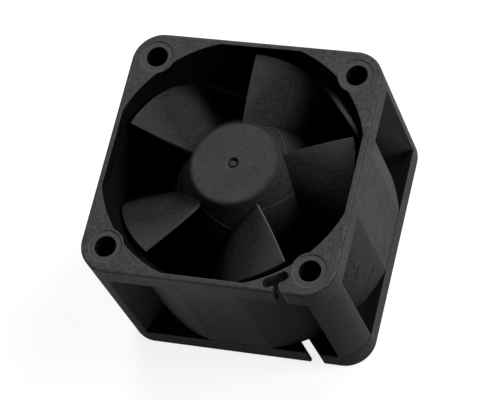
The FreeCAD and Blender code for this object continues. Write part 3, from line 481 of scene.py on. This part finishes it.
finishes.update({
    "magnet_ferrite": grainy("bonded_ferrite", "#3a3a3e", "#55555a", 0.20, 0.62, 0.02),
    "washer_plastic": grainy("polyester_film", "#e4dfd0", "#cfc8b4", 0.15, 0.35, 0.004),
    "insulator_plastic": grainy("natural_nylon", "#ddd6c2", "#c9c0a6", 0.30, 0.45, 0.01),
    "chip_plastic": grainy("black_epoxy", "#262628", "#3c3c40", 0.10, 0.58, 0.01),
    "capacitor_ceramic": grainy("tan_ceramic", "#9a7c58", "#7d6245", 0.12, 0.40, 0.006),
    "seal_film": grainy("black_satin_film", "#29292a", "#343436", 0.12, 0.36, 0.006),
    "cage_plastic": grainy("tan_nylon", "#b49c6c", "#987f52", 0.18, 0.45, 0.008),
})
print(len(finishes), "finishes")

# %% [markdown]
# ## A finish for every node
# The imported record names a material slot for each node. Each mesh could be given its finish by hand, but a
# loop over the record can't miss one, and it stops with an error if a slot has no finish.

# %% Give every node its finish
for part in frame["record"]["subparts"]:
    shown = nodes[part["node"]].data.materials
    for place in range(len(shown)):
        shown[place] = finishes[part["material_slot"]]

# %% [markdown]
# ## Moulding flash on the hub
# Where two parts of the impeller's mould meet, a hair of plastic squeezes out. It runs round the hub's
# cone from the root of each blade towards the next one, a little lower as it goes. It could be painted on
# with a mask, but it is a real ridge that catches the light, so a path is laid on the cone, given a round
# section and made a mesh. The real ridge is about 0.05 mm thick, and it is drawn at 0.1 mm so that it
# shows.

# %% Make a ridge from a path
def ridge(name, points, thickness, order, closed=False):
    """A round ridge along points. An order of 3 rounds the path, and 2 keeps its corners."""
    bpy.ops.object.select_all(action="DESELECT")
    bpy.ops.curve.primitive_nurbs_path_add(location=(0, 0, 0))
    path = bpy.context.object
    path.name = name
    spline = path.data.splines[0]
    spline.points.add(len(points) - len(spline.points))
    for spot, place in zip(spline.points, points):
        spot.co = (*place, 1.0)
    spline.use_cyclic_u = closed
    spline.use_endpoint_u = not closed
    spline.order_u = order
    spline.resolution_u = 2
    path.data.bevel_depth = thickness / 2 * MM
    path.data.bevel_resolution = 1
    path.data.use_fill_caps = not closed
    bpy.ops.object.convert(target="MESH")
    bpy.ops.object.shade_smooth()
    return bpy.context.object


print("ridge helper ready")

# %% Lay five ridges on the cone
def on_cone(angle, height, lift):
    """A point on the hub's cone, in metres, from an angle in degrees and a height in mm."""
    foot_radius, foot_height, neck_radius, neck_height = 11.0, 20.6, 7.4, 25.5
    share = (height - foot_height) / (neck_height - foot_height)
    radius = foot_radius + (neck_radius - foot_radius) * share + lift
    return Vector((radius * cos(radians(angle)), radius * sin(radians(angle)), height + lift)) * MM


first_root, blade_step = 23.4, 72
line_starts = [25.1, 24.2, 23.5, 24.9, 24.6]
line_points, first_turn, turn_each = 13, 1, 3.5
slope, sag = 0.10, 0.006
flash_thickness, flash_lift = 0.10, 0.01
lines = []
for blade, start in enumerate(line_starts):
    turns = [first_root + blade_step * blade + first_turn + turn_each * n for n in range(line_points)]
    path = [on_cone(turn, start - slope * n - sag * n ** 2, flash_lift) for n, turn in enumerate(turns)]
    lines.append(ridge("hub_flash", path, flash_thickness, 3))
print("faces in each ridge:", [len(line.data.polygons) for line in lines])

# %% Join the five and let them ride
bpy.ops.object.select_all(action="DESELECT")
for line in lines:
    line.select_set(True)
bpy.context.view_layer.objects.active = lines[0]
bpy.ops.object.join()
flash = bpy.context.object
flash.data.materials.append(finishes["flash_plastic"])
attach(flash, "rotor")
print("flash:", len(flash.data.polygons), "faces")

# %% [markdown]
# ## Arrows on the duct
# Two raised outlines low on the duct's right side show which way the air goes and which way the blades
# turn. They could be a bump in the finish, but a ridge keeps its shadow in every view. Each is a closed
# path round a block arrow, with enough points on its sides to follow the duct's curve.

# %% Raise two arrows
duct_outside, half_side = 20.6, 20.0
arrow_ridge = 0.22


def on_duct(across, up):
    """A point on the duct's right side, in metres, from y and z in mm. The duct is cut off at half_side."""
    return Vector((min((duct_outside ** 2 - across ** 2) ** 0.5, half_side), across, up)) * MM


def raised_arrow(name, centre, turn, length, width, head):
    """A block arrow's outline, centred on (y, z) in mm. A turn of 0 points it along +Y and 90 along +Z."""
    tail, neck, tip = -length / 2, length / 2 - head, length / 2
    corners = [(tail, -width / 4), (neck, -width / 4), (neck, -width / 2), (tip, 0), (neck, width / 2),
               (neck, width / 4), (tail, width / 4)]
    pieces = 5
    path = []
    for here, there in zip(corners, corners[1:] + corners[:1]):
        for piece in range(pieces):
            along, across = (a + (b - a) * piece / pieces for a, b in zip(here, there))
            y = centre[0] + along * cos(radians(turn)) - across * sin(radians(turn))
            z = centre[1] + along * sin(radians(turn)) + across * cos(radians(turn))
            path.append(on_duct(y, z))
    arrow = ridge(name, path, arrow_ridge, 2, closed=True)
    arrow.data.materials.append(finishes["frame_plastic"])
    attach(arrow, "housing")
    return arrow


arrows = [
    raised_arrow("airflow_arrow", (-10.05, 14.85), -90, 5.7, 3.2, 2.3),
    raised_arrow("rotation_arrow", (-8.95, 9.4), 0, 5.9, 3.6, 2.6),
]
print("arrows:", [len(a.data.polygons) for a in arrows], "faces")

# %% [markdown]
# ## Floor
# The fan stands on a plain pale floor. To a camera, glossy or transmission ray the floor adds a little
# light of its own, so that it reads as white with the fan's soft shadow on it, while its bounce on the
# fan stays modest.

# %% Lay the floor
floor_glow = 0.84
bpy.ops.object.select_all(action="DESELECT")
bpy.ops.mesh.primitive_plane_add(size=4.0, location=(0, 0, -0.02 * MM))
floor = bpy.context.object
floor.name = "floor"
paper = bpy.data.materials.new("white_paper")
paper.use_nodes = True
tree = paper.node_tree
tree.nodes.clear()
ray = add(tree, "LightPath").node.outputs
shiny = add(tree, "Math", {0: ray["Is Glossy Ray"], 1: ray["Is Transmission Ray"]}, operation="MAXIMUM")
seen = add(tree, "Math", {0: ray["Is Camera Ray"], 1: shiny}, operation="MAXIMUM")
sheet = add(tree, "BsdfDiffuse", {"Color": linear("#909090")})
glow = add(tree, "Math", {0: seen, 1: floor_glow}, operation="MULTIPLY")
glow = add(tree, "Emission", {"Color": (1, 1, 1, 1), "Strength": glow})
both = add(tree, "AddShader", {0: sheet, 1: glow})
end = tree.nodes.new("ShaderNodeOutputMaterial")
tree.links.new(both, end.inputs["Surface"])
floor.data.materials.append(paper)
print("floor:", tuple(round(v, 2) for v in floor.dimensions))

# %% [markdown]
# ## Light
# Three broad lamps from the right and behind light the front and the right side alike. A small strip low
# beside the near wall reaches it from above and the left, so that it fades towards the rear flange, and a
# weak fill keeps the far sides readable. A weak white world fills the rest.

# %% Hang the lamps
def lamp(name, place, back, size, power):
    """A soft round lamp at a place in metres. back points away from what it lights."""
    light = bpy.data.lights.new(name, "AREA")
    light.shape = "DISK"
    light.size = size
    light.energy = power
    hung = bpy.data.objects.new(name, light)
    bpy.context.scene.collection.objects.link(hung)
    hung.location = place
    hung.rotation_euler = back.to_track_quat("Z", "Y").to_euler()
    hung.visible_camera = False
    return hung


fan_middle = Vector((0, 0, 14 * MM))
lamp_distance, lamp_size = 0.9, 0.35
# Each lamp's turn from +X towards +Y and its height above the floor in degrees, then its power in watts
broad_lamps = {
    "key_lamp": (10, 30, 6.2),
    "side_lamp": (60, 30, 5.8),
    "back_lamp": (110, 50, 3.2),
    "fill_lamp": (190, 20, 1.0),
}
lamps = []
for name, (turn, height, power) in broad_lamps.items():
    turn, height = radians(turn), radians(height)
    arm = Vector((cos(turn) * cos(height), sin(turn) * cos(height), sin(height)))
    lamps.append(lamp(name, fan_middle + arm * lamp_distance, arm, lamp_size, power))
strip_place = (-10 * MM, -36 * MM, 28 * MM)
strip = lamp("near_strip", strip_place, Vector((0, -16, -4)), 30 * MM, 0.0020)
strip.data.shape = "RECTANGLE"
strip.data.size_y = 3 * MM
lamps.append(strip)
print("lamps:", [h.name for h in lamps])

# %% Light the world
world = bpy.data.worlds.new("studio")
bpy.context.scene.world = world
world.use_nodes = True
sky = world.node_tree.nodes["Background"]
sky.inputs["Color"].default_value = (1, 1, 1, 1)
sky.inputs["Strength"].default_value = 0.03
print("world strength:", round(sky.inputs["Strength"].default_value, 3))
